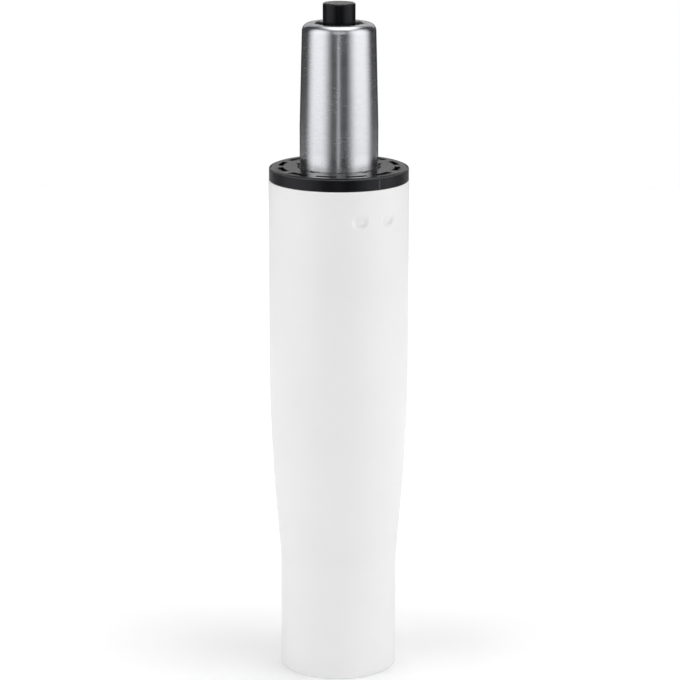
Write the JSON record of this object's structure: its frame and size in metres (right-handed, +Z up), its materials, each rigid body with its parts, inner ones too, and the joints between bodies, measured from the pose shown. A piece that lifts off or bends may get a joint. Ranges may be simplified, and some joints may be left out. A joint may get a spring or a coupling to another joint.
{
  "type": "chair gas lift cylinder",
  "caption": "Chair gas lift: a swaged tube with a slotted collar guides a tapered gas spring that rises on its rod, swivels on a ball thrust bearing and is released by a top button.",
  "frame": {"origin": "centre of the outer tube's lower rim, on the surface that it stands on", "axes": "+Z up along the tube's axis, towards the release button; +X to the right as seen from the front"},
  "size_m": [0.05, 0.05, 0.2436],
  "materials": {
    "white_paint": "satin powder coat",
    "black_moulding": "satin",
    "bright_steel": "ground",
    "bearing_steel": "polished",
    "plated_steel": "zinc plated",
    "light_alloy": "turned",
    "turned_brass": "turned",
    "black_rubber": "matte",
    "natural_plastic": "matte"
  },
  "bodies": {
    "base": {"outer_tube": "white_paint", "guide_bush": "black_moulding", "base_plate": "plated_steel", "lower_race": "bearing_steel"},
    "cage": {"ball_cage": "turned_brass", "bearing_balls": "bearing_steel"},
    "rod": {"upper_race": "bearing_steel", "support_washer": "plated_steel", "rubber_buffer": "black_rubber", "piston_rod": "bearing_steel", "retaining_washer": "plated_steel", "retaining_clip": "plated_steel", "stop_sleeve": "light_alloy", "piston": "natural_plastic", "piston_ring": "black_rubber", "piston_washer": "plated_steel"},
    "gas_spring": {"spindle_tube": "bright_steel", "gland_washer": "plated_steel", "rod_guide": "turned_brass", "gland_oring": "black_rubber", "rod_seal": "black_rubber", "cylinder_foot": "light_alloy", "inner_cylinder": "plated_steel", "valve_body": "light_alloy", "valve_orings": "black_rubber", "pin_seal": "black_rubber", "seal_retainer": "turned_brass", "valve_spacer": "light_alloy"},
    "button": {"valve_pin": "bearing_steel", "pin_head_seal": "black_rubber", "release_button": "black_moulding"}
  },
  "joints": [
    {"name": "swivel", "type": "hinge", "parent": "base", "child": "rod", "pos_m": [0, 0, 0.0206], "axis": [0, 0, 1], "continuous": true},
    {"name": "cage_turn", "type": "hinge", "parent": "base", "child": "cage", "pos_m": [0, 0, 0.0146], "axis": [0, 0, 1], "continuous": true},
    {"name": "lift", "type": "slide", "parent": "rod", "child": "gas_spring", "axis": [0, 0, 1], "range_m": [0, 0.08]},
    {"name": "button_press", "type": "slide", "parent": "gas_spring", "child": "button", "axis": [0, 0, -1], "range_m": [0, 0.004], "stiffness_N_per_m": 2000, "springref_m": -0.01}
  ],
  "couplings": [
    {"joint": "cage_turn", "follows": "swivel", "ratio": 0.5}
  ]
}
